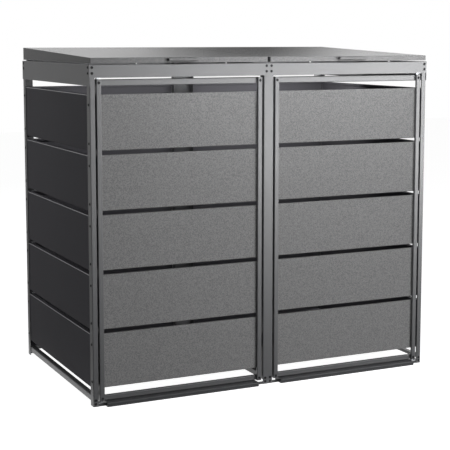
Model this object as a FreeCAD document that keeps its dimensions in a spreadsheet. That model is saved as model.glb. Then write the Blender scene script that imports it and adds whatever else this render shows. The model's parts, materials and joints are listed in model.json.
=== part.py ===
# Double wheelie bin store of folded, powder-coated steel sheet: two bays, two doors, two lids.
# Millimetres. X runs along the front from left to right, Y from front to back, Z up from the ground.
# The origin is on the ground under the middle of the whole store.
import FreeCAD, Part
import os
import re
import Sketcher

doc = FreeCAD.newDocument("bin_store")
sheet = doc.addObject("Spreadsheet::Sheet", "sizes")

SIZES = {
    # overall
    "storeWidth": 1380,
    "storeDepth": 812,
    "frameHeight": 1200,
    # sheet thicknesses and the inner radius of a fold
    "railSheet": 1.5,
    "postSheet": 2,
    "slatSheet": 1.5,
    "foldRadius": 1,
    # posts
    "postFace": 20,
    "postSide": 30,
    "backPostFace": 40,
    "centrePostFace": 40,
    "backCentreFace": 90,
    "centrePostDepth": 30,
    # top and bottom rails
    "frontRailHeight": 45,
    "sideRailHeight": 73,
    "railFlange": 20,
    "bottomRailLow": 16,
    "bottomRailLeg": 20,
    "tieWidth": 32,
    "tieDepth": 20,
    # slats, the same in walls and doors
    "slatCount": 5,
    "slatBottomGap": 28,
    "slatTopGap": 29,
    "slatGap": 15.5,
    "slatEdge": 12,
    "slatLip": 8,
    # clearance of sheets that pass each other
    "sheetGap": 1,
    # doors
    "doorGap": 6,
    "doorLow": 17,
    "stileWidth": 18,
    "stileDepth": 22,
    "stileLip": 5,
    "panelRecess": 10,
    "doorTopRailHeight": 23,
    "doorBottomRailHeight": 18,
    # door pivots
    "pivotInset": 8,
    "pivotDepth": 15,
    "pivotPin": 6,
    "pivotPlay": 0.05,
    "pivotPast": 2,
    "pivotHead": 11,
    "pivotFloat": 0.3,
    "bracketSheet": 3,
    "bracketWidth": 20,
    "bracketReach": 7,
    "bracketLeg": 12,
    "bracketRise": 5,
    # magnet catches
    "catchWidth": 16,
    "catchDepth": 10,
    "catchHeight": 50,
    "catchInset": 120,
    "catchGap": 0.3,
    # sills
    "sillNose": 18,
    "sillGap": 1.5,
    "sillEndGap": 3,
    "sillBack": 30,
    "sillSheet": 2,
    "sillTabHeight": 10,
    "sillFootHeight": 30,
    "sillFootGap": 2,
    # lids
    "lidGap": 4,
    "lidInset": 4,
    "lidSeam": 2,
    "skirtSetback": 5,
    "lidSheet": 1.5,
    "skirtFront": 19,
    "skirtBack": 48,
    "lidFold": 2,
    # grip lips on the lids
    "gripLength": 110,
    "gripReach": 18,
    "gripDrop": 3,
    "gripFace": 10,
    "gripHem": 6,
    "gripFoot": 13,
    # lid hinges
    "hingeLength": 60,
    "hingeLeaf": 36,
    "hingeSheet": 2,
    "barrelRadius": 4.5,
    "barrelGap": 0.5,
    "hingePin": 5,
    "hingePlay": 0.05,
    "hingeInset": 14,
    # buffers
    "bufferRadius": 3,
    "bufferFree": 0.3,
    # screws with hexagon heads
    "headAcross": 8,
    "headHeight": 1.8,
    "screwPitch": 20,
    "sillScrewLow": 9.5,
    "sillScrewPitch": 14,
}

for row, (alias, amount) in enumerate(SIZES.items(), start=1):
    sheet.set("A%d" % row, alias)
    sheet.set("B%d" % row, str(amount))
    sheet.setAlias("B%d" % row, alias)
doc.recompute()

ALIAS = re.compile(r"\b(%s)\b" % "|".join(SIZES))
parts = []


def bound(text):
    # a size expression as the document writes it
    return ALIAS.sub(r"sizes.\1", str(text))


def value(text):
    # what a size expression comes to now
    return float(sheet.evalExpression(bound(text)))


# Places that many pieces share, as expressions of the sizes
HALF = "(storeWidth / 2)"
HINGE_PROUD = "(barrelGap + 2 * barrelRadius)"
FRONT = "(0 - (storeDepth + %s - sillNose) / 2)" % HINGE_PROUD
BACK = "(%s + storeDepth)" % FRONT
RAIL_TOP = "frameHeight"
SKIN = "(railSheet + postSheet)"
POST_IN = "(%s - postFace)" % HALF
DOOR_FACE = "(%s + railSheet)" % FRONT
DOOR_TOP = "(frameHeight - frontRailHeight - doorGap)"
DOOR_OUTER = "(%s - doorGap)" % POST_IN
DOOR_INNER = "(centrePostFace / 2 + doorGap)"
PIVOT_X = "(%s - pivotInset)" % DOOR_OUTER
PIVOT_Y = "(%s + pivotDepth)" % DOOR_FACE
BOTTOM_PLATE = "(doorLow - bracketRise)"
TOP_PLATE = "(%s + bracketRise)" % DOOR_TOP
SLAT_LOW = "(doorLow + doorBottomRailHeight + slatBottomGap)"
SLAT_TOP = "(min(frameHeight - sideRailHeight; %s - doorTopRailHeight) - slatTopGap)" % DOOR_TOP
SLAT_HEIGHT = "((%s - %s + slatGap) / slatCount - slatGap)" % (SLAT_TOP, SLAT_LOW)
LID_LOW = "(frameHeight + lidGap)"
LID_OUTER = "(%s - lidInset)" % HALF
LID_INNER = "(lidSeam / 2 + skirtSetback)"
HINGE_Y = "(%s + barrelGap + barrelRadius)" % BACK
HINGE_Z = "(frameHeight + lidGap / 2)"


def place(thing, x="0", y="0", z="0"):
    for axis, text in (("x", x), ("y", y), ("z", z)):
        thing.setExpression("Placement.Base." + axis, bound(text))


def new_body(label):
    body = doc.addObject("PartDesign::Body", label)
    body.Label = label
    return body


def draw(body, plane, loops, lift=None):
    # closed outlines on an origin plane, each corner a pair of size expressions
    sketch = body.newObject("Sketcher::SketchObject", body.Name + "_outline")
    origin = next(item for item in body.Origin.OriginFeatures if item.Role == plane)
    sketch.AttachmentSupport = [(origin, "")]
    sketch.MapMode = "FlatFace"
    if lift is not None:
        sketch.setExpression("AttachmentOffset.Base.z", bound(lift))
    for corners in loops:
        first = sketch.GeometryCount
        count = len(corners)
        spots = [FreeCAD.Vector(value(u), value(v), 0) for u, v in corners]
        for index in range(count):
            sketch.addGeometry(Part.LineSegment(spots[index], spots[(index + 1) % count]))
        for index in range(count):
            ends = (first + index, 2, first + (index + 1) % count, 1)
            sketch.addConstraint(Sketcher.Constraint("Coincident", *ends))
        for index, (u, v) in enumerate(corners):
            for kind, text, now in (("DistanceX", u, spots[index].x), ("DistanceY", v, spots[index].y)):
                rule = Sketcher.Constraint(kind, -1, 1, first + index, 1, now)
                number = sketch.addConstraint(rule)
                sketch.setExpression("Constraints[%d]" % number, bound(text))
    return sketch


def pad(body, sketch, length, back=False):
    feature = body.newObject("PartDesign::Pad", body.Name + "_pad")
    feature.Profile = sketch
    feature.setExpression("Length", bound(length))
    feature.Reversed = back
    doc.recompute()
    return feature


def pocket(body, sketch, length, back=False):
    before = body.Shape.Volume
    feature = body.newObject("PartDesign::Pocket", body.Name + "_pocket")
    feature.Profile = sketch
    feature.setExpression("Length", bound(length))
    feature.Reversed = back
    doc.recompute()
    if body.Shape.Volume >= before:
        raise RuntimeError(body.Label + ": the pocket cuts nothing")
    return feature


def fold(body, plane, corners, picks, radius):
    # rounds the folds that run along the pad, at the chosen corners of its outline
    doc.recompute()
    base = body.Tip
    spots = [(value(corners[pick][0]), value(corners[pick][1])) for pick in picks]
    keys = {"XY_Plane": ("x", "y"), "XZ_Plane": ("x", "z"), "YZ_Plane": ("y", "z")}[plane]
    names = []
    for index, edge in enumerate(base.Shape.Edges, start=1):
        ends = [(getattr(end.Point, keys[0]), getattr(end.Point, keys[1])) for end in edge.Vertexes]
        for u, v in spots:
            if len(ends) == 2 and all(abs(p - u) < 0.001 and abs(q - v) < 0.001 for p, q in ends):
                names.append("Edge%d" % index)
    feature = body.newObject("PartDesign::Fillet", body.Name + "_fold")
    feature.Base = (base, names)
    feature.setExpression("Radius", bound(radius))
    doc.recompute()
    return feature


def folded(label, plane, corners, length, folds, thickness, **where):
    # a folded section: its outline drawn on a plane, padded, and its folds rounded outside
    body = new_body(label)
    pad(body, draw(body, plane, [corners]), length)
    fold(body, plane, corners, folds, "foldRadius + " + thickness)
    place(body, **where)
    return body


def keep(thing, label=None):
    thing.Label = label or thing.Label
    parts.append(thing)
    return thing


def group(label, members):
    bundle = doc.addObject("Part::Compound", label)
    bundle.Links = members
    doc.recompute()
    return keep(bundle, label)


def angle(u0, u1, v0, v1, thick, turn_u, turn_v):
    # corners of an angle section: its heel at u0, v0, one leg to u1, the other to v1
    inner_u = "%s + %s * %s" % (u0, turn_u, thick)
    inner_v = "%s + %s * %s" % (v0, turn_v, thick)
    return [(u0, v0), (u1, v0), (u1, inner_v), (inner_u, inner_v), (inner_u, v1), (u0, v1)]


def channel(u0, u1, v0, v1, thick, turn_v):
    # corners of a channel: its web at v0 from u0 to u1, both legs to v1
    inner_v = "%s + %s * %s" % (v0, turn_v, thick)
    left = "%s + %s" % (u0, thick)
    right = "%s - %s" % (u1, thick)
    return [(u0, v0), (u1, v0), (u1, v1), (right, v1), (right, inner_v), (left, inner_v), (left, v1), (u0, v1)]


def corner_post(label, side, deep, line, face):
    corners = angle(
        "%d * (%s - railSheet)" % (side, HALF),
        "%d * (%s - %s)" % (side, HALF, face),
        "%s + %d * railSheet" % (line, deep),
        "%s + %d * (railSheet + postSide)" % (line, deep),
        "postSheet",
        -side,
        deep,
    )
    keep(folded(label, "XY_Plane", corners, "frameHeight - railSheet", [0], "postSheet"))


def centre_post(label, deep, line, face, open_foot=False):
    corners = channel(
        "0 - %s / 2" % face,
        "%s / 2" % face,
        "%s + %d * railSheet" % (line, deep),
        "%s + %d * (railSheet + centrePostDepth)" % (line, deep),
        "postSheet",
        deep,
    )
    body = folded(label, "XY_Plane", corners, "frameHeight - railSheet", [0, 1], "postSheet")
    if open_foot:
        # both legs stop short of the ground, where the feet of the sills pass behind the face
        start = "%s + %s" % (FRONT, SKIN)
        end = "%s + railSheet + centrePostDepth + sheetGap" % FRONT
        notches = []
        for side in (-1, 1):
            near = "%d * (%s / 2 - postSheet)" % (side, face)
            far = "%d * (%s / 2 + sheetGap)" % (side, face)
            notches.append([(near, start), (far, start), (far, end), (near, end)])
        pocket(body, draw(body, "XY_Plane", notches), "sillFootHeight + sillFootGap", back=True)
    keep(body)


def cross_rail(label, deep, line, height):
    # the front or back top rail, its flange on top turned into the store
    corners = angle(
        line,
        "%s + %d * railFlange" % (line, deep),
        RAIL_TOP,
        "%s - %s" % (RAIL_TOP, height),
        "railSheet",
        deep,
        -1,
    )
    length = "storeWidth - 2 * railSheet"
    start = "railSheet - %s" % HALF
    keep(folded(label, "YZ_Plane", corners, length, [0], "railSheet", x=start))


def side_rail(label, side):
    corners = angle(
        "%d * %s" % (side, HALF),
        "%d * (%s - railFlange)" % (side, HALF),
        RAIL_TOP,
        RAIL_TOP + " - sideRailHeight",
        "railSheet",
        -side,
        -1,
    )
    body = folded(label, "XZ_Plane", corners, "storeDepth", [0], "railSheet", y=BACK)
    # the flange is notched at both ends for the flanges of the front and back rails
    edge = "%d * (%s - railSheet)" % (side, HALF)
    past = "%d * (%s - railFlange - sheetGap)" % (side, HALF)
    notches = []
    for start, end in (
        ("0 - storeDepth - sheetGap", "railFlange + sheetGap / 2 - storeDepth"),
        ("0 - railFlange - sheetGap / 2", "sheetGap"),
    ):
        notches.append([(edge, start), (past, start), (past, end), (edge, end)])
    pocket(body, draw(body, "XY_Plane", notches), RAIL_TOP + " + sheetGap", back=True)
    keep(body)


def centre_tie():
    # an open channel under the seam of the lids, its ends inside the centre posts
    top = "frameHeight - railSheet"
    corners = channel("0 - tieWidth / 2", "tieWidth / 2", top + " - tieDepth", top, "railSheet", 1)
    length = "storeDepth - 2 * %s" % SKIN
    start = "%s - %s" % (BACK, SKIN)
    keep(folded("centre_top_tie", "XZ_Plane", corners, length, [0, 1], "railSheet", y=start))


def slat_outline(face, turn):
    # a cassette: skin, two edges and two lips; u runs into the store from the skin
    deep = "%s + %d * slatEdge" % (face, turn)
    lip = "%s + %d * (slatEdge - slatSheet)" % (face, turn)
    skin = "%s + %d * slatSheet" % (face, turn)
    high = SLAT_HEIGHT
    return [
        (face, "0"),
        (face, high),
        (deep, high),
        (deep, high + " - slatLip"),
        (lip, high + " - slatLip"),
        (lip, high + " - slatSheet"),
        (skin, high + " - slatSheet"),
        (skin, "slatSheet"),
        (lip, "slatSheet"),
        (lip, "slatLip"),
        (deep, "slatLip"),
        (deep, "0"),
    ]


def slat(label, plane, face, turn, length, number, **where):
    # only the two folds of the skin are rounded, to keep the faces of the many slats few
    where["z"] = "%s + %d * (%s + slatGap)" % (SLAT_LOW, number, SLAT_HEIGHT)
    return folded(label, plane, slat_outline(face, turn), length, [0, 1], "slatSheet", **where)


WALL_FRONT = "(%s + %s + sheetGap)" % (FRONT, SKIN)
WALL_BACK = "(%s - %s - slatEdge - sheetGap)" % (BACK, SKIN)
WALL_LENGTH = "(%s - %s)" % (WALL_BACK, WALL_FRONT)
BAY_OUTER = "(%s - %s - sheetGap)" % (HALF, SKIN)
BAY_INNER = "(backCentreFace / 2 + sheetGap / 2)"
BAY_LENGTH = "(%s - %s)" % (BAY_OUTER, BAY_INNER)


def side_wall(name, side):
    face = "%d * (%s - %s)" % (side, HALF, SKIN)
    for number in range(int(value("slatCount"))):
        label = "%s_side_panel_%d" % (name, number + 1)
        keep(slat(label, "XZ_Plane", face, -side, WALL_LENGTH, number, y=WALL_BACK))


def bay_start(side):
    return "0 - %s" % BAY_OUTER if side < 0 else BAY_INNER


def back_wall(name, side):
    members = []
    for number in range(int(value("slatCount"))):
        label = "back_%s_slat_%d" % (name, number + 1)
        face = "%s - %s" % (BACK, SKIN)
        members.append(slat(label, "YZ_Plane", face, -1, BAY_LENGTH, number, x=bay_start(side)))
    group("back_%s_panels" % name, members)


def bottom_rails():
    high = "bottomRailLow + bottomRailLeg"
    members = []
    for name, side in (("left", -1), ("right", 1)):
        corners = angle(
            "%d * (%s - %s)" % (side, HALF, SKIN),
            "%d * (%s - %s - bottomRailLeg)" % (side, HALF, SKIN),
            high,
            "bottomRailLow",
            "railSheet",
            -side,
            -1,
        )
        label = name + "_bottom_rail"
        body = folded(label, "XZ_Plane", corners, WALL_LENGTH, [0], "railSheet", y=WALL_BACK)
        # the top leg is notched in front so that the door's stile swings past it
        leg = "%d * (%s - %s - railSheet)" % (side, HALF, SKIN)
        past = "%d * (%s - %s - bottomRailLeg - sheetGap)" % (side, HALF, SKIN)
        front = "0 - %s - sheetGap" % WALL_LENGTH
        clear = "%s + pivotDepth + stileWidth + sheetGap - %s" % (DOOR_FACE, WALL_BACK)
        notch = [(leg, front), (past, front), (past, clear), (leg, clear)]
        pocket(body, draw(body, "XY_Plane", [notch]), high + " + sheetGap", back=True)
        members.append(body)
    for name, side in (("back_left", -1), ("back_right", 1)):
        corners = angle(
            "%s - %s" % (BACK, SKIN),
            "%s - %s - bottomRailLeg" % (BACK, SKIN),
            high,
            "bottomRailLow",
            "railSheet",
            -1,
            -1,
        )
        label = name + "_bottom_rail"
        length = "%s - bottomRailLeg" % BAY_LENGTH
        start = "0 - %s + bottomRailLeg" % BAY_OUTER if side < 0 else BAY_INNER
        members.append(folded(label, "YZ_Plane", corners, length, [0], "railSheet", x=start))
    # the middle one is a channel, open below, from the feet of the sills to the back centre post
    corners = channel("0 - tieWidth / 2", "tieWidth / 2", high, "bottomRailLow", "railSheet", -1)
    length = "storeDepth - 2 * %s - sillSheet" % SKIN
    start = "%s - %s" % (BACK, SKIN)
    members.append(folded("centre_bottom_rail", "XZ_Plane", corners, length, [0, 1], "railSheet", y=start))
    group("bottom_rails", members)


def sill(name, side):
    # a folded threshold: a nose across the bay between the stiles, and low feet behind the posts
    body = new_body(name + "_sill")
    nose_out = "(%s - stileWidth - sillEndGap)" % DOOR_OUTER
    nose_in = "(%s + stileWidth + sillEndGap)" % DOOR_INNER
    low = "0 - " + nose_out if side < 0 else nose_in
    length = "%s - %s" % (nose_out, nose_in)
    front = "%s - sillNose" % FRONT
    back = "%s + sillBack" % FRONT
    top = "(doorLow - sillGap)"
    front_in = front + " + sillSheet"
    back_in = back + " - sillSheet"
    nose = [
        (front, "0"),
        (front, top),
        (back, top),
        (back, "0"),
        (back_in, "0"),
        (back_in, top + " - sillSheet"),
        (front_in, top + " - sillSheet"),
        (front_in, "0"),
    ]
    pad(body, draw(body, "YZ_Plane", [nose]), length)
    fold(body, "YZ_Plane", nose, [1, 2], "foldRadius + sillSheet")
    # a cheek closes each end of the nose
    under = "%s - sillSheet" % top
    cheek = [(front_in, "0"), (front_in, under), (back_in, under), (back_in, "0")]
    for start in ("0", length + " - sillSheet"):
        pad(body, draw(body, "YZ_Plane", [cheek], lift=start), "sillSheet")
    # each foot is a strip on the ground line that steps up behind its post
    run = "stileWidth + doorGap + sillEndGap"
    outer_run = "%s + postFace - %s - sillFootGap" % (run, SKIN)
    inner_run = "%s + centrePostFace / 2 - postSheet - sillFootGap" % run
    low_run, high_run = (outer_run, inner_run) if side < 0 else (inner_run, outer_run)
    feet = (
        ("sillSheet", "0 - (%s)" % run, "0 - (%s)" % low_run, -1),
        (length + " - sillSheet", "%s + %s" % (length, run), "%s + %s" % (length, high_run), 1),
    )
    # drawn as seen from the front, behind the posts' front faces
    behind = "0 - (%s + %s)" % (FRONT, SKIN)
    for near, step, far, way in feet:
        hidden = "%s + %d * sillFootGap" % (step, way)
        strip = [
            (near, "0"),
            (far, "0"),
            (far, "sillFootHeight"),
            (hidden, "sillFootHeight"),
            (hidden, "sillTabHeight"),
            (near, "sillTabHeight"),
        ]
        pad(body, draw(body, "XZ_Plane", [strip], lift=behind), "sillSheet", back=True)
    place(body, x=low)
    keep(body)


def stile_outline(edge, turn):
    # an outer leg, the face, a short leg and the lip that carries the rails and panels
    face = DOOR_FACE
    width = "%s + %d * stileWidth" % (edge, turn)
    lip = "%s + %d * (stileWidth - stileLip)" % (edge, turn)
    short = "%s + %d * (stileWidth - slatSheet)" % (edge, turn)
    leg = "%s + %d * slatSheet" % (edge, turn)
    return [
        (edge, face),
        (width, face),
        (width, face + " + panelRecess"),
        (lip, face + " + panelRecess"),
        (lip, face + " + panelRecess - slatSheet"),
        (short, face + " + panelRecess - slatSheet"),
        (short, face + " + slatSheet"),
        (leg, face + " + slatSheet"),
        (leg, face + " + stileDepth"),
        (edge, face + " + stileDepth"),
    ]


def stile(label, edge, turn):
    corners = stile_outline(edge, turn)
    length = "%s - doorLow" % DOOR_TOP
    keep(folded(label, "XY_Plane", corners, length, [0, 1, 2], "slatSheet", z="doorLow"))


def door_rail(label, low, height, start, length):
    # a channel whose web lines up with the skins of the panels
    face = "%s + panelRecess" % DOOR_FACE
    back = "%s + stileDepth" % DOOR_FACE
    corners = [
        (face, "0"),
        (face, height),
        (back, height),
        (back, height + " - slatSheet"),
        (face + " + slatSheet", height + " - slatSheet"),
        (face + " + slatSheet", "slatSheet"),
        (back, "slatSheet"),
        (back, "0"),
    ]
    keep(folded(label, "YZ_Plane", corners, length, [0, 1], "slatSheet", x=start, z=low))


def solid_box(name, x0, x1, y0, y1, z0, z1):
    block = doc.addObject("Part::Box", name)
    block.setExpression("Length", bound("%s - (%s)" % (x1, x0)))
    block.setExpression("Width", bound("%s - (%s)" % (y1, y0)))
    block.setExpression("Height", bound("%s - (%s)" % (z1, z0)))
    place(block, x0, y0, z0)
    return block


def point(thing, along, x, y, z):
    # puts a straight piece at its start point and turns it along one axis
    turns = {
        "z": FreeCAD.Rotation(),
        "x": FreeCAD.Rotation(FreeCAD.Vector(0, 1, 0), 90),
        "y": FreeCAD.Rotation(FreeCAD.Vector(1, 0, 0), -90),
    }
    thing.Placement = FreeCAD.Placement(FreeCAD.Vector(), turns[along])
    place(thing, x, y, z)
    return thing


def rod(name, radius, length, x, y, z, along="z"):
    cylinder = doc.addObject("Part::Cylinder", name)
    cylinder.setExpression("Radius", bound(radius))
    cylinder.setExpression("Height", bound(length))
    return point(cylinder, along, x, y, z)


def hexagon(name, across, length, x, y, z, along="z"):
    # a hexagon bar, its size given across the flats
    bar = doc.addObject("Part::Prism", name)
    bar.Polygon = 6
    bar.setExpression("Circumradius", bound("%s / 2 / cos(30 deg)" % across))
    bar.setExpression("Height", bound(length))
    return point(bar, along, x, y, z)


def fused(name, members):
    union = doc.addObject("Part::MultiFuse", name)
    union.Shapes = members
    return union


def cut(name, base, tool):
    rest = doc.addObject("Part::Cut", name)
    rest.Base = base
    rest.Tool = tool
    return rest


def door(name, side):
    outer = "%d * %s" % (side, DOOR_OUTER)
    inner = "%d * %s" % (side, DOOR_INNER)
    stile(name + "_door_hinge_stile", outer, -side)
    stile(name + "_door_latch_stile", inner, side)
    # rails and panels reach into both stiles, up to their outer legs
    low = "(%s + slatSheet + sheetGap)" % DOOR_INNER
    high = "(%s - slatSheet - sheetGap)" % DOOR_OUTER
    start = "0 - " + high if side < 0 else low
    length = "%s - %s" % (high, low)
    top = "%s - doorTopRailHeight" % DOOR_TOP
    door_rail(name + "_door_top_rail", top, "doorTopRailHeight", start, length)
    door_rail(name + "_door_bottom_rail", "doorLow", "doorBottomRailHeight", start, length)
    for number in range(int(value("slatCount"))):
        label = "%s_door_panel_%d" % (name, number + 1)
        face = "%s + panelRecess" % DOOR_FACE
        keep(slat(label, "YZ_Plane", face, 1, length, number, x=start))
    # each pivot is a hexagon stud on its rail, with a pin turned on its end
    x = "%d * %s" % (side, PIVOT_X)
    pins = []
    for end, head_low, head_high, pin_low, pin_high in (
        (
            "bottom",
            BOTTOM_PLATE + " + pivotFloat",
            "doorLow",
            BOTTOM_PLATE + " - bracketSheet - pivotPast",
            BOTTOM_PLATE + " + pivotFloat",
        ),
        (
            "top",
            DOOR_TOP,
            TOP_PLATE + " - pivotFloat",
            TOP_PLATE + " - pivotFloat",
            TOP_PLATE + " + bracketSheet + pivotPast",
        ),
    ):
        label = "%s_%s_pivot" % (name, end)
        tall = "%s - (%s)" % (head_high, head_low)
        head = hexagon(label + "_head", "pivotHead", tall, x, PIVOT_Y, head_low)
        length = "%s - (%s)" % (pin_high, pin_low)
        pin = rod(label + "_pin", "pivotPin / 2", length, x, PIVOT_Y, pin_low)
        pins.append(fused(label, [head, pin]))
    group(name + "_door_pivots", pins)


def door_brackets():
    members = []
    for name, side in (("left", -1), ("right", 1)):
        wall = "(%s - %s)" % (HALF, SKIN)
        reach = "(%s - bracketReach)" % PIVOT_X
        x0, x1 = ("0 - " + wall, "0 - " + reach) if side < 0 else (reach, wall)
        leg = "bracketSheet"
        leg0, leg1 = (x0, x0 + " + " + leg) if side < 0 else (x1 + " - " + leg, x1)
        y0 = "(%s + postSheet + sillSheet + sheetGap / 2)" % DOOR_FACE
        y1 = "%s + bracketWidth" % y0
        bore = "pivotPin / 2 + pivotPlay"
        for end, low, leg_low, leg_high in (
            ("bottom", BOTTOM_PLATE + " - bracketSheet", "0", BOTTOM_PLATE),
            ("top", TOP_PLATE, TOP_PLATE, TOP_PLATE + " + bracketLeg"),
        ):
            label = "%s_%s_bracket" % (name, end)
            plate = solid_box(label + "_plate", x0, x1, y0, y1, low, low + " + bracketSheet")
            foot = solid_box(label + "_leg", leg0, leg1, y0, y1, leg_low, leg_high)
            blank = fused(label + "_blank", [plate, foot])
            x = "%d * %s" % (side, PIVOT_X)
            length = "bracketSheet + 2 * sheetGap"
            hole = rod(label + "_bore", bore, length, x, PIVOT_Y, low + " - sheetGap")
            members.append(cut(label, blank, hole))
    group("door_pivot_brackets", members)


def magnet_catches():
    members = []
    back = "%s + stileDepth + catchGap" % DOOR_FACE
    for name, side in (("left", -1), ("right", 1)):
        flange = "centrePostFace / 2"
        x0, x1 = (flange, flange + " + catchWidth")
        if side < 0:
            x0, x1 = ("0 - centrePostFace / 2 - catchWidth", "0 - centrePostFace / 2")
        for end, low in (
            ("lower", "doorLow + catchInset"),
            ("upper", DOOR_TOP + " - catchInset - catchHeight"),
        ):
            label = "%s_%s_catch" % (name, end)
            high = low + " + catchHeight"
            members.append(solid_box(label, x0, x1, back, back + " + catchDepth", low, high))
    group("door_magnet_catches", members)


def lid(name, side):
    body = new_body(name + "_lid")
    low, high = LID_LOW, LID_LOW + " + skirtFront"
    peak = LID_LOW + " + skirtBack"
    width = "%s - %s" % (LID_OUTER, LID_INNER)
    shell = [(FRONT, low), (FRONT, high), (BACK, peak), (BACK, low)]
    pad(body, draw(body, "YZ_Plane", [shell]), width)
    # rounded before it is hollowed: front, back, outer side and the upright corners
    rise = "(skirtBack - skirtFront) / storeDepth"
    outer_x = 0 if side < 0 else value(width)
    names = []
    solid = body.Tip
    for index, edge in enumerate(solid.Shape.Edges, start=1):
        middle = edge.CenterOfMass
        on_top = middle.z > value(high) - 0.01 and edge.Length > value("skirtBack") + 1
        at_outer = abs(middle.x - outer_x) < 0.01
        upright = abs(edge.Vertexes[0].X - edge.Vertexes[-1].X) < 0.01 and edge.Length < value("skirtBack") + 1
        across = edge.Length > value(width) - 0.01 and middle.z > value(low) + 0.01
        sloped = on_top and at_outer and not across
        if across or sloped or (upright and at_outer and edge.BoundBox.ZLength > 1):
            names.append("Edge%d" % index)
    rounding = body.newObject("PartDesign::Fillet", name + "_lid_folds")
    rounding.Base = (solid, names)
    rounding.setExpression("Radius", bound("lidFold"))
    doc.recompute()
    front_in = FRONT + " + lidSheet"
    back_in = BACK + " - lidSheet"
    hollow = [
        (front_in, low + " - sheetGap"),
        (front_in, "%s + %s * lidSheet - lidSheet" % (high, rise)),
        (back_in, "%s - %s * lidSheet - lidSheet" % (peak, rise)),
        (back_in, low + " - sheetGap"),
    ]
    inside = draw(body, "YZ_Plane", [hollow], lift="lidSheet")
    pocket(body, inside, "%s - 2 * lidSheet" % width, back=True)
    # the roof runs on past the inner skirt to the seam
    eave = [
        (FRONT + " + lidFold", "%s + %s * lidFold - lidSheet" % (high, rise)),
        (FRONT + " + lidFold", "%s + %s * lidFold" % (high, rise)),
        (BACK + " - lidFold", "%s - %s * lidFold" % (peak, rise)),
        (BACK + " - lidFold", "%s - %s * lidFold - lidSheet" % (peak, rise)),
    ]
    seam = width if side < 0 else "0"
    pad(body, draw(body, "YZ_Plane", [eave], lift=seam), "skirtSetback", back=side > 0)
    place(body, x="0 - " + LID_OUTER if side < 0 else LID_INNER)
    keep(body)


def lid_middle(side):
    return "%d * (%s + %s) / 2" % (side, LID_OUTER, LID_INNER)


def lid_grip(name, side):
    # a folded lip: a foot on the skirt, a shelf, a face and a hem, closed by a cheek at each end
    body = new_body(name + "_lid_grip")
    top = LID_LOW + " + skirtFront - gripDrop"
    nose = FRONT + " - gripReach"
    foot = top + " - gripFoot"
    base = top + " - gripFace"
    corners = [
        (FRONT, foot),
        (FRONT, top),
        (nose, top),
        (nose, base),
        (nose + " + gripHem", base),
        (nose + " + gripHem", base + " + lidSheet"),
        (nose + " + lidSheet", base + " + lidSheet"),
        (nose + " + lidSheet", top + " - lidSheet"),
        (FRONT + " - lidSheet", top + " - lidSheet"),
        (FRONT + " - lidSheet", foot),
    ]
    pad(body, draw(body, "YZ_Plane", [corners]), "gripLength")
    fold(body, "YZ_Plane", corners, [2, 3], "foldRadius + lidSheet")
    low = base + " + foldRadius + lidSheet"
    in_nose = nose + " + lidSheet"
    cheek = [(in_nose, low), (in_nose, top + " - lidSheet"), (FRONT, top + " - lidSheet"), (FRONT, low)]
    for start in ("0", "gripLength - lidSheet"):
        pad(body, draw(body, "YZ_Plane", [cheek], lift=start), "lidSheet")
    place(body, x="%s - gripLength / 2" % lid_middle(side))
    keep(body)


def hinge_places(side):
    return (
        "%d * (%s - hingeInset - hingeLength / 2)" % (side, LID_OUTER),
        "%d * (%s + hingeInset + hingeLength / 2)" % (side, LID_INNER),
    )


def hinge_leaf(label, middle, low_end, up):
    # a plate on the back of the store with one knuckle, over half its length, rolled round the pin
    start = "(%s - hingeLength / 2)" % middle
    end = start + " + hingeLength"
    y0, y1 = BACK, BACK + " + hingeSheet"
    clear = "(barrelRadius + barrelGap)"
    if up:
        plate_z = (HINGE_Z + " + " + clear, HINGE_Z + " + hingeLeaf")
        neck_z = (HINGE_Z, HINGE_Z + " + " + clear)
    else:
        plate_z = (HINGE_Z + " - hingeLeaf", HINGE_Z + " - " + clear)
        neck_z = (HINGE_Z + " - " + clear, HINGE_Z)
    length = "(hingeLength - barrelGap) / 2"
    x0 = start if low_end else "(%s - %s)" % (end, length)
    plate = solid_box(label + "_plate", start, end, y0, y1, *plate_z)
    neck = solid_box(label + "_neck", x0, "%s + %s" % (x0, length), y0, y1, *neck_z)
    barrel = rod(label + "_barrel", "barrelRadius", length, x0, HINGE_Y, HINGE_Z, "x")
    blank = fused(label + "_blank", [plate, neck, barrel])
    bore = rod(label + "_bore", "hingePin / 2 + hingePlay", "hingeLength", start, HINGE_Y, HINGE_Z, "x")
    return cut(label, blank, bore)


def lid_hinges():
    # the knuckles of a lid lie between those of the rail, so that the lid can't slide off
    rail_leaves, pins = [], []
    for name, side in (("left", -1), ("right", 1)):
        lid_leaves = []
        for number, middle in enumerate(hinge_places(side)):
            label = "%s_hinge_%d" % (name, number + 1)
            rail_low = (side < 0) == (number == 0)
            rail_leaves.append(hinge_leaf(label + "_rail_leaf", middle, rail_low, up=False))
            lid_leaves.append(hinge_leaf(label + "_lid_leaf", middle, not rail_low, up=True))
            start = "(%s - hingeLength / 2)" % middle
            pins.append(rod(label + "_pin", "hingePin / 2", "hingeLength", start, HINGE_Y, HINGE_Z, "x"))
        group(name + "_lid_hinge_leaves", lid_leaves)
    group("lid_hinge_rail_leaves", rail_leaves)
    group("lid_hinge_pins", pins)


def lid_buffers():
    members = []
    for number, share in enumerate((-3, -1, 1, 3), start=1):
        x = "%d * storeWidth / 8" % share
        y = "%s + bufferRadius" % FRONT
        label = "buffer_%d" % number
        members.append(rod(label, "bufferRadius", "lidGap - bufferFree", x, y, "frameHeight"))
    group("lid_buffers", members)


def screw_front(label, x, z, face, out):
    # a head on a face that looks along Y
    start = "%s - headHeight" % face if out < 0 else face
    return hexagon(label, "headAcross", "headHeight", x, start, z, "y")


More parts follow.
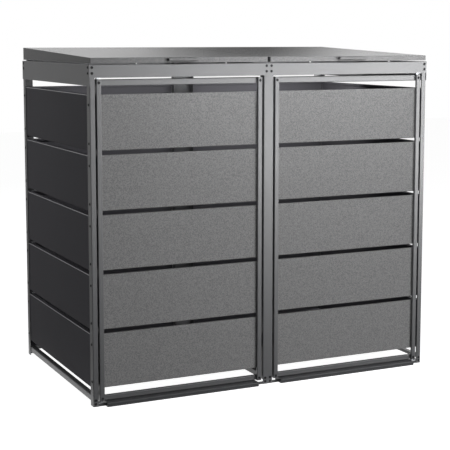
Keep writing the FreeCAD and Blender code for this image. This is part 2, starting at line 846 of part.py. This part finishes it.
def screw_side(label, side, y, z):
    face = "%d * %s" % (side, HALF)
    start = "%s - headHeight" % face if side < 0 else face
    return hexagon(label, "headAcross", "headHeight", start, y, z, "x")


def frame_screws():
    # two at each joint of a top rail and a post, and two at the foot of each front post flange
    members = []
    post_middle = "(%s - postFace / 2)" % HALF
    across = ["0 - " + post_middle, "0 - screwPitch / 2", "screwPitch / 2", post_middle]
    upper = "(frameHeight - screwPitch / 2)"
    lower = "(%s - screwPitch)" % upper
    for index, x in enumerate(across):
        for row, z in enumerate((upper, lower)):
            members.append(screw_front("front_screw_%d_%d" % (index, row), x, z, FRONT, -1))
            members.append(screw_front("back_screw_%d_%d" % (index, row), x, z, BACK, 1))
        for row, z in enumerate(("sillScrewLow", "sillScrewLow + sillScrewPitch")):
            members.append(screw_front("sill_screw_%d_%d" % (index, row), x, z, DOOR_FACE, -1))
    for side in (-1, 1):
        for place_y, y in enumerate((FRONT + " + postSide / 2", BACK + " - postSide / 2")):
            for row, z in enumerate((upper, lower)):
                label = "side_screw_%d_%d_%d" % (side + 1, place_y, row)
                members.append(screw_side(label, side, y, z))
    group("frame_screws", members)


def door_screws(name, side):
    members = []
    for column, x in enumerate((DOOR_OUTER + " - stileWidth / 2", DOOR_INNER + " + stileWidth / 2")):
        for row, z in enumerate(
            ("doorLow + doorBottomRailHeight / 2", DOOR_TOP + " - doorTopRailHeight / 2")
        ):
            label = "%s_door_screw_%d_%d" % (name, column, row)
            members.append(screw_front(label, "%d * (%s)" % (side, x), z, DOOR_FACE, -1))
    group(name + "_door_screws", members)


def build():
    for name, side in (("left", -1), ("right", 1)):
        corner_post("front_%s_post" % name, side, 1, FRONT, "postFace")
        corner_post("back_%s_post" % name, side, -1, BACK, "backPostFace")
    centre_post("front_centre_post", 1, FRONT, "centrePostFace", open_foot=True)
    centre_post("back_centre_post", -1, BACK, "backCentreFace")
    cross_rail("front_top_rail", 1, FRONT, "frontRailHeight")
    cross_rail("back_top_rail", -1, BACK, "sideRailHeight")
    centre_tie()
    bottom_rails()
    door_brackets()
    magnet_catches()
    for name, side in (("left", -1), ("right", 1)):
        side_rail(name + "_top_rail", side)
        side_wall(name, side)
        back_wall(name, side)
        sill(name, side)
        door(name, side)
        lid(name, side)
        lid_grip(name, side)
        door_screws(name, side)
    lid_hinges()
    lid_buffers()
    frame_screws()


def export():
    doc.recompute()
    for thing in doc.Objects:
        if "Invalid" in thing.State or "Error" in thing.State:
            raise RuntimeError("%s failed: %s" % (thing.Label, thing.State))
    os.makedirs("parts", exist_ok=True)
    for part in parts:
        if part.Shape.isNull() or not part.Shape.isValid():
            raise RuntimeError(part.Label + " has no valid shape")
        part.Shape.exportStep("parts/%s.step" % part.Label)
    print("%d pieces written" % len(parts))


build()
export()
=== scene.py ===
# Dresses the double wheelie bin store: coatings, screws, buffers, catches, closing strips and the studio.
import bpy
import json
import math
from mathutils import Matrix, Vector


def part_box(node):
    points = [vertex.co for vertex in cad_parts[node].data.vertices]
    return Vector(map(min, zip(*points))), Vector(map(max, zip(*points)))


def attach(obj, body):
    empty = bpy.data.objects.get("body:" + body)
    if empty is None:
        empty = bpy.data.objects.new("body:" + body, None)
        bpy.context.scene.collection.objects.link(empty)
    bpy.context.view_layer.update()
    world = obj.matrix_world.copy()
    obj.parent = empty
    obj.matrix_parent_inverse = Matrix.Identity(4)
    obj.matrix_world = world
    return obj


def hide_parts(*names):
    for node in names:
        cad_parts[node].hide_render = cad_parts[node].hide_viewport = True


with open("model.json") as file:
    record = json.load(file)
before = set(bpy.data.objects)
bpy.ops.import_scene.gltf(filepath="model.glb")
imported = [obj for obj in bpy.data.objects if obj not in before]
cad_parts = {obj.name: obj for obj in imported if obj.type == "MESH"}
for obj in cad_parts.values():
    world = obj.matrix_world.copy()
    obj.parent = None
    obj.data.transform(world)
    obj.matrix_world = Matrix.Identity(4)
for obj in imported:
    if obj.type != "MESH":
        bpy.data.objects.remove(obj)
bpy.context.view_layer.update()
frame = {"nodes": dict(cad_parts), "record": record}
nodes = frame["nodes"]
bpy.ops.object.select_all(action="DESELECT")
print("frame loaded with", len(nodes), "nodes")


# Camera, fitted to the store's straight edges in the photograph

cameraView = {
    "place": (-2.0362, -4.3034, 1.2864),
    "yaw": 25.465,
    "pitch": 6.691,
    "lens": 96.15,
    "sensor": 36.0,
    "shiftUp": -0.10,
    "nearest": 0.1,
    "farthest": 60,
}


def makeCamera():
    view = cameraView
    bpy.ops.object.camera_add(location=view["place"])
    camera = bpy.context.object
    camera.name = "photoCamera"
    camera.rotation_euler = (math.radians(90 - view["pitch"]), 0, -math.radians(view["yaw"]))
    camera.data.sensor_width = view["sensor"]
    camera.data.lens = view["lens"]
    camera.data.shift_y = view["shiftUp"]
    camera.data.clip_start = view["nearest"]
    camera.data.clip_end = view["farthest"]
    bpy.context.scene.camera = camera


makeCamera()
print("camera placed")


# Shader nodes that the coatings and the studio share

def addNode(tree, kind, place):
    node = tree.nodes.new(kind)
    node.location = place
    return node


def mathNode(tree, operation, place, *terms):
    # each term is a number or the output of another node
    step = addNode(tree, "ShaderNodeMath", place)
    step.operation = operation
    for socket, term in zip(step.inputs, terms):
        if isinstance(term, bpy.types.NodeSocket):
            tree.links.new(term, socket)
        else:
            socket.default_value = term
    return step.outputs["Value"]


def objectAxis(tree, axis, place):
    # one of the object's own coordinates
    coordinates = addNode(tree, "ShaderNodeTexCoord", (place[0] - 200, place[1]))
    split = addNode(tree, "ShaderNodeSeparateXYZ", place)
    tree.links.new(coordinates.outputs["Object"], split.inputs["Vector"])
    return split.outputs[axis]


def noiseNode(tree, scale, detail, place):
    # noise on the object's own coordinates, its scale in lumps per metre
    coordinates = addNode(tree, "ShaderNodeTexCoord", (place[0] - 200, place[1]))
    noise = addNode(tree, "ShaderNodeTexNoise", place)
    noise.inputs["Scale"].default_value = scale
    noise.inputs["Detail"].default_value = detail
    tree.links.new(coordinates.outputs["Object"], noise.inputs["Vector"])
    return noise.outputs["Fac"]


def rampNode(tree, source, stops, place):
    ramp = addNode(tree, "ShaderNodeValToRGB", place)
    while len(ramp.color_ramp.elements) < len(stops):
        ramp.color_ramp.elements.new(0.5)
    for element, (spot, colour) in zip(ramp.color_ramp.elements, stops):
        element.position = spot
        element.color = (*colour, 1)
    tree.links.new(source, ramp.inputs["Fac"])
    return ramp.outputs["Color"]


# Coatings

def scaled(colour, factor):
    return tuple(part * factor for part in colour)


def coating(name, look):
    # powder coat: speckle in the colour, cloudy sheen, and an orange-peel skin
    material = bpy.data.materials.new(name)
    material.use_nodes = True
    tree = material.node_tree
    shader = tree.nodes["Principled BSDF"]

    speckle = noiseNode(tree, look["speckleScale"], look["speckleDetail"], (-700, 300))
    middle = 0.5  # of the noise
    stops = [
        (middle - look["speckleReach"], scaled(look["colour"], 1 - look["speckle"])),
        (middle, look["colour"]),
        (middle + look["speckleReach"], scaled(look["colour"], 1 + look["speckle"])),
    ]
    colour = rampNode(tree, speckle, stops, (-400, 300))
    tree.links.new(colour, shader.inputs["Base Color"])

    cloud = noiseNode(tree, look["cloudScale"], look["cloudDetail"], (-700, 0))
    sheen = addNode(tree, "ShaderNodeMapRange", (-400, 0))
    sheen.inputs["To Min"].default_value = look["roughness"] - look["roughnessSpread"]
    sheen.inputs["To Max"].default_value = look["roughness"] + look["roughnessSpread"]
    tree.links.new(cloud, sheen.inputs["Value"])
    tree.links.new(sheen.outputs["Result"], shader.inputs["Roughness"])

    peel = noiseNode(tree, look["peelScale"], look["peelDetail"], (-700, -300))
    bump = addNode(tree, "ShaderNodeBump", (-300, -300))
    bump.inputs["Strength"].default_value = look["peelStrength"]
    bump.inputs["Distance"].default_value = look["peelDepth"]
    tree.links.new(peel, bump.inputs["Height"])
    tree.links.new(bump.outputs["Normal"], shader.inputs["Normal"])

    shader.inputs["Metallic"].default_value = look["metallic"]
    shader.inputs["Specular IOR Level"].default_value = look["specular"]
    # the wall coating gets a painted highlight on its panel folds
    if "paintedFoldHighlight" in look:
        paintHighlightOnFolds(tree, look["paintedFoldHighlight"], colour, shader)
    return material


def paintHighlightOnFolds(tree, line, colour, shader):
    # painted highlight: the rounded top fold of each wall panel, found by its height, gets a light
    # metallic colour as a thin line, standing in for the light and reflection the fold catches
    low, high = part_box("left_side_panel_1")
    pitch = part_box("left_side_panel_2")[0].z - low.z
    foldHeight = high.z - low.z - line["belowTop"]
    aboveFirst = mathNode(tree, "SUBTRACT", (-1100, 600), objectAxis(tree, "Z", (-1300, 600)), low.z)
    inPanel = mathNode(tree, "MODULO", (-920, 600), aboveFirst, pitch)
    onPaintedHighlight = mathNode(tree, "COMPARE", (-740, 600), inPanel, foldHeight, line["reach"])
    # sockets 0, 6 and 7 of a colour mix are its factor and its two colours
    blend = addNode(tree, "ShaderNodeMix", (-150, 500))
    blend.data_type = "RGBA"
    blend.inputs[7].default_value = (*line["colour"], 1)
    tree.links.new(onPaintedHighlight, blend.inputs[0])
    tree.links.new(colour, blend.inputs[6])
    tree.links.new(blend.outputs[2], shader.inputs["Base Color"])
    tree.links.new(onPaintedHighlight, shader.inputs["Metallic"])


doorLook = {
    "colour": (0.152, 0.152, 0.153),
    "speckle": 0.25, "speckleReach": 0.1, "speckleScale": 350, "speckleDetail": 2,
    "roughness": 0.6, "roughnessSpread": 0.04, "cloudScale": 3, "cloudDetail": 3,
    "peelScale": 900, "peelStrength": 0.35, "peelDepth": 0.0003, "peelDetail": 2,
    "metallic": 0.0, "specular": 0.35,
}
frameLook = dict(
    doorLook, colour=(0.085, 0.086, 0.090), speckle=0.05, speckleScale=500,
    roughness=0.32, specular=0.5,
)
# painted shade: the frame coating darkened for the sills, which lie in the shade of the doors
sillPaintedShadeLook = dict(frameLook, colour=(0.048, 0.049, 0.052), specular=0.3)
wallLook = dict(
    doorLook, colour=(0.098, 0.096, 0.106), speckle=0.03, specular=0.02, roughness=0.5,
    # painted highlight: the light metallic line on the panels' top folds
    paintedFoldHighlight={"belowTop": 0.0020, "reach": 0.0009, "colour": (0.36, 0.36, 0.37)},
)
lidLook = dict(
    doorLook, colour=(0.122, 0.122, 0.124), speckle=0.2,
    roughness=0.22, roughnessSpread=0.02, specular=0.13,
)
steelLook = dict(
    doorLook, colour=(0.46, 0.47, 0.49), metallic=1.0, specular=0.5, speckle=0.08, speckleScale=140,
    cloudScale=60, roughness=0.38, roughnessSpread=0.08, peelScale=500, peelStrength=0.12,
)
screwLook = dict(
    doorLook, colour=(0.012, 0.012, 0.013), specular=0.12, speckle=0.15, speckleScale=700,
    cloudScale=120, roughness=0.5, roughnessSpread=0.06, peelScale=1500, peelStrength=0.2,
)
catchLook = dict(
    doorLook, colour=(0.020, 0.020, 0.022), specular=0.45, speckle=0.06, speckleScale=500,
    roughness=0.55, peelScale=1400, peelStrength=0.3,
)
bufferLook = dict(
    doorLook, colour=(0.74, 0.74, 0.75), speckle=0.03, speckleScale=600,
    peelScale=1200, peelStrength=0.15,
)

slotMaterials = {
    "frame_coating": coating("frameCoating", frameLook),
    "wall_coating": coating("wallCoating", wallLook),
    "door_coating": coating("doorCoating", doorLook),
    "lid_coating": coating("lidCoating", lidLook),
    "hinge_steel": coating("zincPlate", steelLook),
    "screw_heads": coating("blackOxide", screwLook),
    "catch_housing": coating("mouldedBlack", catchLook),
    "buffer_rubber": coating("bufferGrey", bufferLook),
}

# painted shade: the sills get a darker copy of the frame coating, standing in for the shade of the doors
# over them
sillPaintedShade = coating("sillPaintedShade", sillPaintedShadeLook)
paintedShadeNodes = {"left_sill": sillPaintedShade, "right_sill": sillPaintedShade}


def dressNodes():
    for subpart in frame["record"]["subparts"]:
        node = nodes[subpart["node"]]
        # the sills take the darker copy with painted shade
        material = paintedShadeNodes.get(subpart["node"], slotMaterials[subpart["material_slot"]])
        node.data.materials.clear()
        node.data.materials.append(material)


dressNodes()
print("coatings on")


# Tools of the bench: starting and rounding a piece, picking faces, copying, and fixing it to its body

bench = {
    "facing": 0.95,  # how much of a face's normal lies along the way it is picked by
    "turn": 0.65,  # radians from one copy to the next
    "smoothUnder": 40,  # degrees between two faces
    "mergeWithin": 0.00001,
}


def cylinder(sides, radius, height, foot=(0, 0, 0)):
    bpy.ops.mesh.primitive_cylinder_add(
        vertices=sides, radius=radius, depth=height, location=(foot[0], foot[1], foot[2] + height / 2)
    )
    return bpy.context.object


def boxBetween(low, high):
    bpy.ops.mesh.primitive_cube_add(size=1, location=(low + high) / 2)
    box = bpy.context.object
    box.scale = high - low
    bpy.ops.object.transform_apply(location=True, rotation=True, scale=True)
    return box


def roundEdges(piece, width, segments):
    rounding = piece.modifiers.new("rounding", "BEVEL")
    rounding.width = width
    rounding.segments = segments
    rounding.limit_method = "ANGLE"
    bpy.ops.object.modifier_apply(modifier=rounding.name)


def pickFaces(piece, test):
    # leaves the piece in edit mode with the wanted faces selected
    bpy.ops.object.mode_set(mode="EDIT")
    bpy.ops.mesh.select_mode(type="FACE")
    bpy.ops.mesh.select_all(action="DESELECT")
    bpy.ops.object.mode_set(mode="OBJECT")
    for face in piece.data.polygons:
        face.select = test(face)
    bpy.ops.object.mode_set(mode="EDIT")


def pickTop(piece):
    pickFaces(piece, lambda face: face.normal.z > bench["facing"])


def selectOnly(pieces):
    bpy.ops.object.select_all(action="DESELECT")
    for piece in pieces:
        piece.select_set(True)
    bpy.context.view_layer.objects.active = pieces[0]


def joined(pieces, name):
    # one object at the origin, with its place in its mesh
    selectOnly(pieces)
    if len(pieces) > 1:
        bpy.ops.object.join()
    bpy.ops.object.transform_apply(location=True, rotation=True, scale=True)
    bpy.context.object.name = name
    return bpy.context.object


def copiesOf(master, places, name):
    # each place is a point and the direction in which the piece looks; a turn keeps them from being alike
    copies = []
    for number, (point, out) in enumerate(places):
        copy = master.copy()
        copy.data = master.data.copy()
        bpy.context.collection.objects.link(copy)
        facing = Vector(out).to_track_quat("Z", "Y").to_matrix().to_4x4()
        turned = Matrix.Rotation(number * bench["turn"], 4, "Z")
        copy.matrix_world = Matrix.Translation(point) @ facing @ turned
        copies.append(copy)
    return joined(copies, name)


def fixed(piece, body, slotName, *replaced):
    selectOnly([piece])
    bpy.ops.object.shade_smooth_by_angle(angle=math.radians(bench["smoothUnder"]))
    piece.data.materials.clear()
    piece.data.materials.append(slotMaterials[slotName])
    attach(piece, body)
    if replaced:
        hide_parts(*replaced)


def deleted(piece):
    selectOnly([piece])
    bpy.ops.object.delete()


def partsOf(nodeName):
    # the boxes of a node's separate pieces, from a copy that is merged and parted
    copy = nodes[nodeName].copy()
    copy.data = copy.data.copy()
    copy.parent = None
    bpy.context.collection.objects.link(copy)
    selectOnly([copy])
    bpy.ops.object.mode_set(mode="EDIT")
    bpy.ops.mesh.select_all(action="SELECT")
    bpy.ops.mesh.remove_doubles(threshold=bench["mergeWithin"])
    bpy.ops.mesh.separate(type="LOOSE")
    bpy.ops.object.mode_set(mode="OBJECT")
    boxes = []
    for part in bpy.context.selected_objects:
        spots = [vertex.co for vertex in part.data.vertices]
        low = Vector([min(spot[axis] for spot in spots) for axis in range(3)])
        high = Vector([max(spot[axis] for spot in spots) for axis in range(3)])
        boxes.append((low, high))
    bpy.ops.object.delete()
    return boxes


# Screws: hexagon heads on a washer flange, and button heads with a socket on the hinges

hexagonHead = {
    "flangeSides": 18, "flangeRadius": 0.0049, "flangeHeight": 0.0004,
    "flangeTaper": 0.0011, "flangeCrown": 0.0002,
    "across": 0.0072, "height": 0.0018, "crown": 0.0003, "crownTaper": 0.00045,
    "dishInset": 0.0006, "dishDepth": 0.0003,
}


def makeHexagonHead():
    size = hexagonHead
    flange = cylinder(size["flangeSides"], size["flangeRadius"], size["flangeHeight"])
    pickTop(flange)
    bpy.ops.mesh.inset(thickness=size["flangeTaper"], depth=size["flangeCrown"])
    bpy.ops.object.mode_set(mode="OBJECT")
    cornerRadius = size["across"] / 2 / math.cos(math.radians(30))
    hexagon = cylinder(6, cornerRadius, size["height"] - size["crown"])
    pickTop(hexagon)
    bpy.ops.mesh.inset(thickness=size["crownTaper"], depth=size["crown"])
    bpy.ops.mesh.inset(thickness=size["dishInset"])
    bpy.ops.mesh.inset(thickness=size["dishInset"], depth=-size["dishDepth"])
    bpy.ops.object.mode_set(mode="OBJECT")
    return joined([flange, hexagon], "hexagonHead")


def screwPlaces(nodeName):
    # a head is thin along the way it looks, and looks away from the middle of the store
    places = []
    for low, high in partsOf(nodeName):
        middle = (low + high) / 2
        spans = high - low
        axis = min(range(3), key=lambda number: spans[number])
        out = Vector((0, 0, 0))
        out[axis] = math.copysign(1, middle[axis])
        point = middle.copy()
        point[axis] = low[axis] if out[axis] > 0 else high[axis]
        places.append((point, out))
    return places


panelScrews = {
    "panels": 5, "fromTop": 0.035, "fromBottom": 0.026, "flangeShare": 0.45, "centreInset": 0.014,
}


def panelScrewPlaces():
    # two at each end of a wall panel, through the flanges of the posts
    size = panelScrews
    places = []
    for side, sign in (("left", -1), ("right", 1)):
        columns = []
        for row, share in (("front", size["flangeShare"]), ("back", 1 - size["flangeShare"])):
            low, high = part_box("%s_%s_post" % (row, side))
            outer = low.x if sign < 0 else high.x
            columns.append((outer, low.y + (high.y - low.y) * share, Vector((sign, 0, 0))))
        cornerLow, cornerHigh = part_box("back_%s_post" % side)
        centreLow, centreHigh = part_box("back_centre_post")
        cornerX = (cornerLow.x + cornerHigh.x) / 2
        centreX = sign * (centreHigh.x - size["centreInset"])
        columns += [(x, centreHigh.y, Vector((0, 1, 0))) for x in (cornerX, centreX)]
        # the back panels lie at the heights of the side panels
        for x, y, out in columns:
            for number in range(1, size["panels"] + 1):
                low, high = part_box("%s_side_panel_%d" % (side, number))
                for z in (high.z - size["fromTop"], low.z + size["fromBottom"]):
                    places.append((Vector((x, y, z)), out))
    return places


buttonHead = {
    "sides": 16, "radius": 0.0034, "rim": 0.0004, "rises": (0.00035, 0.00015),
    "socketRadius": 0.0012, "socketDepth": 0.0006,
}


def makeButtonHead():
    size = buttonHead
    head = cylinder(size["sides"], size["radius"], size["rim"])
    slope = (size["radius"] - size["socketRadius"]) / len(size["rises"])
    pickTop(head)
    for rise in size["rises"]:
        bpy.ops.mesh.inset(thickness=slope, depth=rise)
    bpy.ops.mesh.extrude_region_move(TRANSFORM_OT_translate={"value": (0, 0, -size["socketDepth"])})
    bpy.ops.object.mode_set(mode="OBJECT")
    return joined([head], "buttonHead")


leafScrews = {"fromEnd": 0.011, "plateThickness": 0.002}


def leafScrewPlaces(nodeName, above):
    # two on each leaf of a hinge, on the flat of its plate
    knuckleLow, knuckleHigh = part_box("lid_hinge_pins")
    places = []
    for low, high in partsOf(nodeName):
        z = (knuckleHigh.z + high.z) / 2 if above else (low.z + knuckleLow.z) / 2
        for x in (low.x + leafScrews["fromEnd"], high.x - leafScrews["fromEnd"]):
            places.append((Vector((x, low.y + leafScrews["plateThickness"], z)), Vector((0, 1, 0))))
    return places


def makeScrews():
    head = makeHexagonHead()
    framePlaces = screwPlaces("frame_screws")
    fixed(copiesOf(head, framePlaces, "frameScrewHeads"), "frame", "screw_heads", "frame_screws")
    fixed(copiesOf(head, panelScrewPlaces(), "panelScrewHeads"), "frame", "screw_heads")
    for side in ("left", "right"):
        node = side + "_door_screws"
        heads = copiesOf(head, screwPlaces(node), side + "DoorScrewHeads")
        fixed(heads, side + "_door", "screw_heads", node)
    deleted(head)
    button = makeButtonHead()
    railLeaves = leafScrewPlaces("lid_hinge_rail_leaves", above=False)
    fixed(copiesOf(button, railLeaves, "railLeafScrews"), "frame", "screw_heads")
    for side in ("left", "right"):
        leaves = leafScrewPlaces(side + "_lid_hinge_leaves", above=True)
        fixed(copiesOf(button, leaves, side + "LidLeafScrews"), side + "_lid", "screw_heads")
    deleted(button)


makeScrews()
print("screws set")


# Buffers under the lids: round pads with a domed top

bufferPad = {"sides": 24, "shoulder": 0.0008, "shoulderSteps": 3, "domeInset": 0.0011, "domeRise": 0.0003}


def makeBuffers():
    size = bufferPad
    pads = []
    for low, high in partsOf("lid_buffers"):
        middle = (low + high) / 2
        tall = high.z - low.z - size["domeRise"]
        pad = cylinder(size["sides"], (high.x - low.x) / 2, tall, (middle.x, middle.y, low.z))
        pickTop(pad)
        bpy.ops.mesh.inset(thickness=size["domeInset"], depth=size["domeRise"])
        bpy.ops.object.mode_set(mode="OBJECT")
        roundEdges(pad, size["shoulder"], size["shoulderSteps"])
        pads.append(pad)
    fixed(joined(pads, "lidBufferPads"), "frame", "buffer_rubber", "lid_buffers")


makeBuffers()
print("buffers set")


# Magnet catches: a moulded housing with two steel poles in its face

magnetCatch = {
    "rounding": 0.0012, "roundingSteps": 2, "ribInset": 0.0016, "ribWall": 0.0008, "ribDepth": 0.0012,
    "poleThick": 0.0016, "poleApart": 0.0060, "poleLength": 0.026, "poleDepth": 0.004,
    "poleRoundingShare": 1 / 6,
}


def makeCatches():
    size = magnetCatch
    poleSpan = Vector((size["poleThick"], size["poleDepth"], size["poleLength"]))
    housings, poles = [], []
    for low, high in partsOf("door_magnet_catches"):
        housing = boxBetween(low + Vector((0, size["ribDepth"], 0)), high)
        roundEdges(housing, size["rounding"], size["roundingSteps"])
        pickFaces(housing, lambda face: face.normal.y < -bench["facing"])
        bpy.ops.mesh.inset(thickness=size["ribInset"])
        bpy.ops.mesh.inset(thickness=size["ribWall"], depth=-size["ribDepth"])
        bpy.ops.object.mode_set(mode="OBJECT")
        housings.append(housing)
        middle = (low + high) / 2
        for way in (-1, 1):
            x = middle.x + way * size["poleApart"] / 2
            poleLow = Vector((x - poleSpan.x / 2, low.y, middle.z - poleSpan.z / 2))
            pole = boxBetween(poleLow, poleLow + poleSpan)
            roundEdges(pole, size["poleThick"] * size["poleRoundingShare"], size["roundingSteps"])
            poles.append(pole)
    fixed(joined(housings, "catchHousings"), "frame", "catch_housing", "door_magnet_catches")
    fixed(joined(poles, "catchPoles"), "frame", "hinge_steel")


makeCatches()
print("catches set")


# Closing strips: a folded strip on each back bottom rail, up behind the lip of the lowest back panel

closingStrip = {
    "sheet": 0.0012, "foot": 0.005, "overlap": 0.009, "gap": 0.0003,
    "rounding": 0.0004, "roundingSteps": 2,
}


def makeClosingStrips():
    size = closingStrip
    strips = []
    railTop = max(high.z for low, high in partsOf("bottom_rails"))
    for side in ("left", "right"):
        low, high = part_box("back_%s_panels" % side)
        back = low.y - size["gap"]
        stripLow = Vector((low.x, back - size["sheet"], railTop + size["gap"]))
        strip = boxBetween(stripLow, Vector((high.x, back, low.z + size["overlap"])))
        # the foot is turned forward along the rail
        footTop = stripLow.z + size["sheet"]
        bpy.ops.object.mode_set(mode="EDIT")
        bpy.ops.mesh.select_all(action="SELECT")
        bpy.ops.mesh.bisect(plane_co=(0, 0, footTop), plane_no=(0, 0, 1))
        bpy.ops.object.mode_set(mode="OBJECT")
        pickFaces(strip, lambda face: face.normal.y < -bench["facing"] and face.center.z < footTop)
        bpy.ops.mesh.extrude_region_move(TRANSFORM_OT_translate={"value": (0, -size["foot"], 0)})
        bpy.ops.object.mode_set(mode="OBJECT")
        roundEdges(strip, size["rounding"], size["roundingSteps"])
        strips.append(strip)
    fixed(joined(strips, "backClosingStrips"), "frame", "wall_coating")


makeClosingStrips()
print("closing strips set")


# Studio: white paper and background, boards that only reflections see, and lamps

studio = {
    "floorSize": 24.0,
    "floorLevel": -0.0005,
    "floorColour": (0.62, 0.62, 0.62),
    "floorGlow": 0.97,
    "ambient": 0.01,
    "background": 1.0,
    "flags": {
        "backFlag": {
            "place": (1.6, 2.9, 1.9), "tilt": 90, "turn": 26, "size": (3.6, 2.6),
            "stops": [
                (0.0, 1.0), (0.22, 0.95), (0.29, 0.8), (0.36, 0.45), (0.44, 0.2),
                (0.53, 0.15), (0.59, 0.36), (0.70, 1.0), (1.0, 1.0),
            ],
        },
        "floorFlag": {
            "place": (1.0, -3.422, 0.002), "tilt": 0, "turn": 90, "size": (6.0, 10.0),
            "stops": [(0.0, 0.0), (0.1, 0.05), (0.25, 0.45), (0.42, 1.0), (1.0, 1.0)],
        },
        "sideFlag": {
            "place": (-1.9, 3.5, 1.0), "tilt": 90, "turn": -17, "size": (3.0, 3.0),
            "stops": [(0.0, 0.5), (1.0, 0.5)],
        },
        "sideFloorFlag": {
            "place": (-1.95, 1.6, 0.002), "tilt": 0, "turn": 0, "size": (2.4, 4.4),
            "stops": [(0.0, 0.36), (1.0, 0.36)],
        },
    },
    "lamps": {
        "keyRight": {
            "place": (4.0, -5.5, 0.68), "aim": (0.2, -0.4, 0.68), "size": (2.4, 1.2), "watts": 208,
            "reflected": True,
        },
        "keyLeft": {
            "place": (1.7, -5.3, 0.68), "aim": (0.0, -0.4, 0.68), "size": (1.8, 1.2), "watts": 38,
            "reflected": True,
        },
        "stripAbove": {
            "place": (0.3, -0.95, 1.62), "aim": (0.3, -0.4, 1.05), "size": (1.4, 0.3), "watts": 13.5,
            "reflected": False,
        },
        "leftBay": {
            "place": (-0.34, 0.05, 1.15), "aim": (-0.34, 0.40, 1.02), "size": (0.5, 0.05), "watts": 1.1,
            "reflected": False,
        },
        "rightBay": {
            "place": (0.34, 0.05, 1.15), "aim": (0.34, 0.40, 1.02), "size": (0.5, 0.05), "watts": 2.0,
            "reflected": False,
        },
        "backSoft": {
            "place": (-2.4, 3.8, 1.7), "aim": (-0.3, 0.2, 0.6), "size": (3.0, 2.0), "watts": 60,
            "reflected": False,
        },
    },
}


def sightFactor(tree, place):
    # 1 for rays that see the background, straight or in a reflection, and 0 for rays that light the object
    x, y = place
    path = addNode(tree, "ShaderNodeLightPath", (x - 400, y)).outputs
    either = mathNode(tree, "MAXIMUM", (x - 200, y), path["Is Camera Ray"], path["Is Glossy Ray"])
    return mathNode(tree, "MAXIMUM", place, either, path["Is Transmission Ray"])


def emptyMaterial(name):
    material = bpy.data.materials.new(name)
    material.use_nodes = True
    material.node_tree.nodes.clear()
    return material, material.node_tree


def makeWorld():
    world = bpy.data.worlds.new("studioWorld")
    bpy.context.scene.world = world
    world.use_nodes = True
    tree = world.node_tree
    tree.nodes.clear()
    output = addNode(tree, "ShaderNodeOutputWorld", (0, 0))
    blend = addNode(tree, "ShaderNodeMixShader", (-200, 0))
    tree.links.new(sightFactor(tree, (-400, 150)), blend.inputs["Fac"])
    for socket, strength in ((1, studio["ambient"]), (2, studio["background"])):
        light = addNode(tree, "ShaderNodeBackground", (-400, -150 * socket))
        light.inputs["Color"].default_value = (1, 1, 1, 1)
        light.inputs["Strength"].default_value = strength
        tree.links.new(light.outputs["Background"], blend.inputs[socket])
    tree.links.new(blend.outputs["Shader"], output.inputs["Surface"])


def makeFloor():
    bpy.ops.mesh.primitive_plane_add(size=studio["floorSize"], location=(0, 0, studio["floorLevel"]))
    floor = bpy.context.object
    floor.name = "studioFloor"
    material, tree = emptyMaterial("floorPaper")
    output = addNode(tree, "ShaderNodeOutputMaterial", (0, 0))
    both = addNode(tree, "ShaderNodeAddShader", (-200, 0))
    paper = addNode(tree, "ShaderNodeBsdfDiffuse", (-400, 100))
    paper.inputs["Color"].default_value = (*studio["floorColour"], 1)
    glow = addNode(tree, "ShaderNodeEmission", (-400, -100))
    seen = sightFactor(tree, (-800, -100))
    strength = mathNode(tree, "MULTIPLY", (-600, -100), seen, studio["floorGlow"])
    tree.links.new(strength, glow.inputs["Strength"])
    tree.links.new(paper.outputs["BSDF"], both.inputs[0])
    tree.links.new(glow.outputs["Emission"], both.inputs[1])
    tree.links.new(both.outputs["Shader"], output.inputs["Surface"])
    floor.data.materials.append(material)


def makeFlag(name, flag):
    # a board that only reflections see, its brightness set along its length
    bpy.ops.mesh.primitive_plane_add(size=1, location=(0, 0, 0))
    board = bpy.context.object
    board.name = name
    material, tree = emptyMaterial(name + "Face")
    output = addNode(tree, "ShaderNodeOutputMaterial", (0, 0))
    glow = addNode(tree, "ShaderNodeEmission", (-200, 0))
    # the board's own X runs from -0.5 to 0.5, and the ramp from 0 to 1
    along = mathNode(tree, "ADD", (-700, 0), objectAxis(tree, "X", (-900, 0)), 0.5)
    stops = [(spot, (grey, grey, grey)) for spot, grey in flag["stops"]]
    tree.links.new(rampNode(tree, along, stops, (-500, 0)), glow.inputs["Color"])
    tree.links.new(glow.outputs["Emission"], output.inputs["Surface"])
    board.data.materials.append(material)
    board.scale = (*flag["size"], 1)
    board.rotation_euler = (math.radians(flag["tilt"]), 0, -math.radians(flag["turn"]))
    board.location = flag["place"]
    board.visible_camera = False
    board.visible_diffuse = False
    board.visible_shadow = False


def makeLamp(name, lamp):
    bpy.ops.object.light_add(type="AREA", location=lamp["place"])
    light = bpy.context.object
    light.name = name
    light.data.shape = "RECTANGLE"
    light.data.size, light.data.size_y = lamp["size"]
    light.data.energy = lamp["watts"]
    away = Vector(lamp["place"]) - Vector(lamp["aim"])
    light.rotation_euler = away.to_track_quat("Z", "Y").to_euler()
    light.visible_camera = False
    light.visible_glossy = lamp["reflected"]


makeWorld()
makeFloor()
for flagName, flag in studio["flags"].items():
    makeFlag(flagName, flag)
for lampName, lamp in studio["lamps"].items():
    makeLamp(lampName, lamp)
bpy.context.scene.view_settings.view_transform = "Standard"
print("studio lit")
